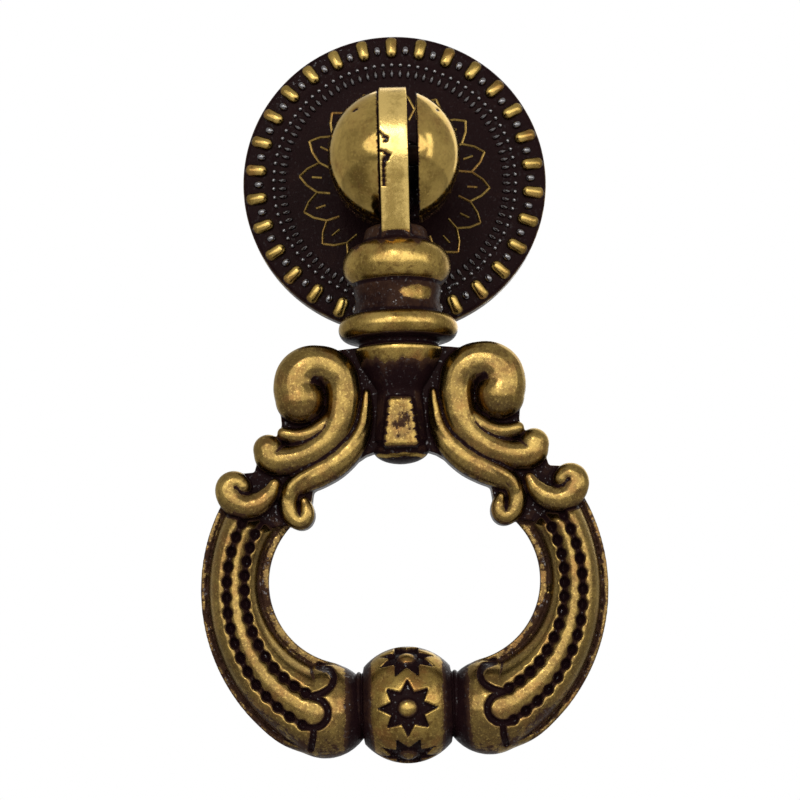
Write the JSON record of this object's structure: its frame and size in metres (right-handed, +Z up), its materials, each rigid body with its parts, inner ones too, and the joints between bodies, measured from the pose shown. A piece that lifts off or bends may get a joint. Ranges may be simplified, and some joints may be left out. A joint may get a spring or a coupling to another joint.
{
  "type": "drop ring cabinet pull",
  "caption": "Cabinet drop pull: a round beaded rosette with a slotted ball post, on which a scrolled and reeded ring pendant hangs and swings about a cross pin",
  "frame": {"origin": "centre of the rosette's flat back, on the axis of the fixing thread", "axes": "+X to the right seen from the front, +Y into the drawer front along the fixing screw, +Z up; the pendant hangs down along -Z"},
  "size_m": [0.039, 0.0187, 0.0752],
  "materials": {
    "rosette_brass": "antique brass, dark glossy patina with rubbed highlights",
    "post_brass": "antique brass, rubbed satin",
    "pin_brass": "antique brass, dark",
    "pendant_brass": "antique brass, rubbed satin over dark recesses"
  },
  "bodies": {
    "rosette": {"backplate": "rosette_brass", "ball_post": "post_brass", "hinge_pin": "pin_brass"},
    "ring": {"pendant": "pendant_brass"}
  },
  "joints": [
    {"name": "pendant_swing", "type": "hinge", "parent": "rosette", "child": "ring", "pos_m": [0, -0.012, 0], "axis": [-1, 0, 0], "range_deg": [-6.5, 186.5]}
  ]
}
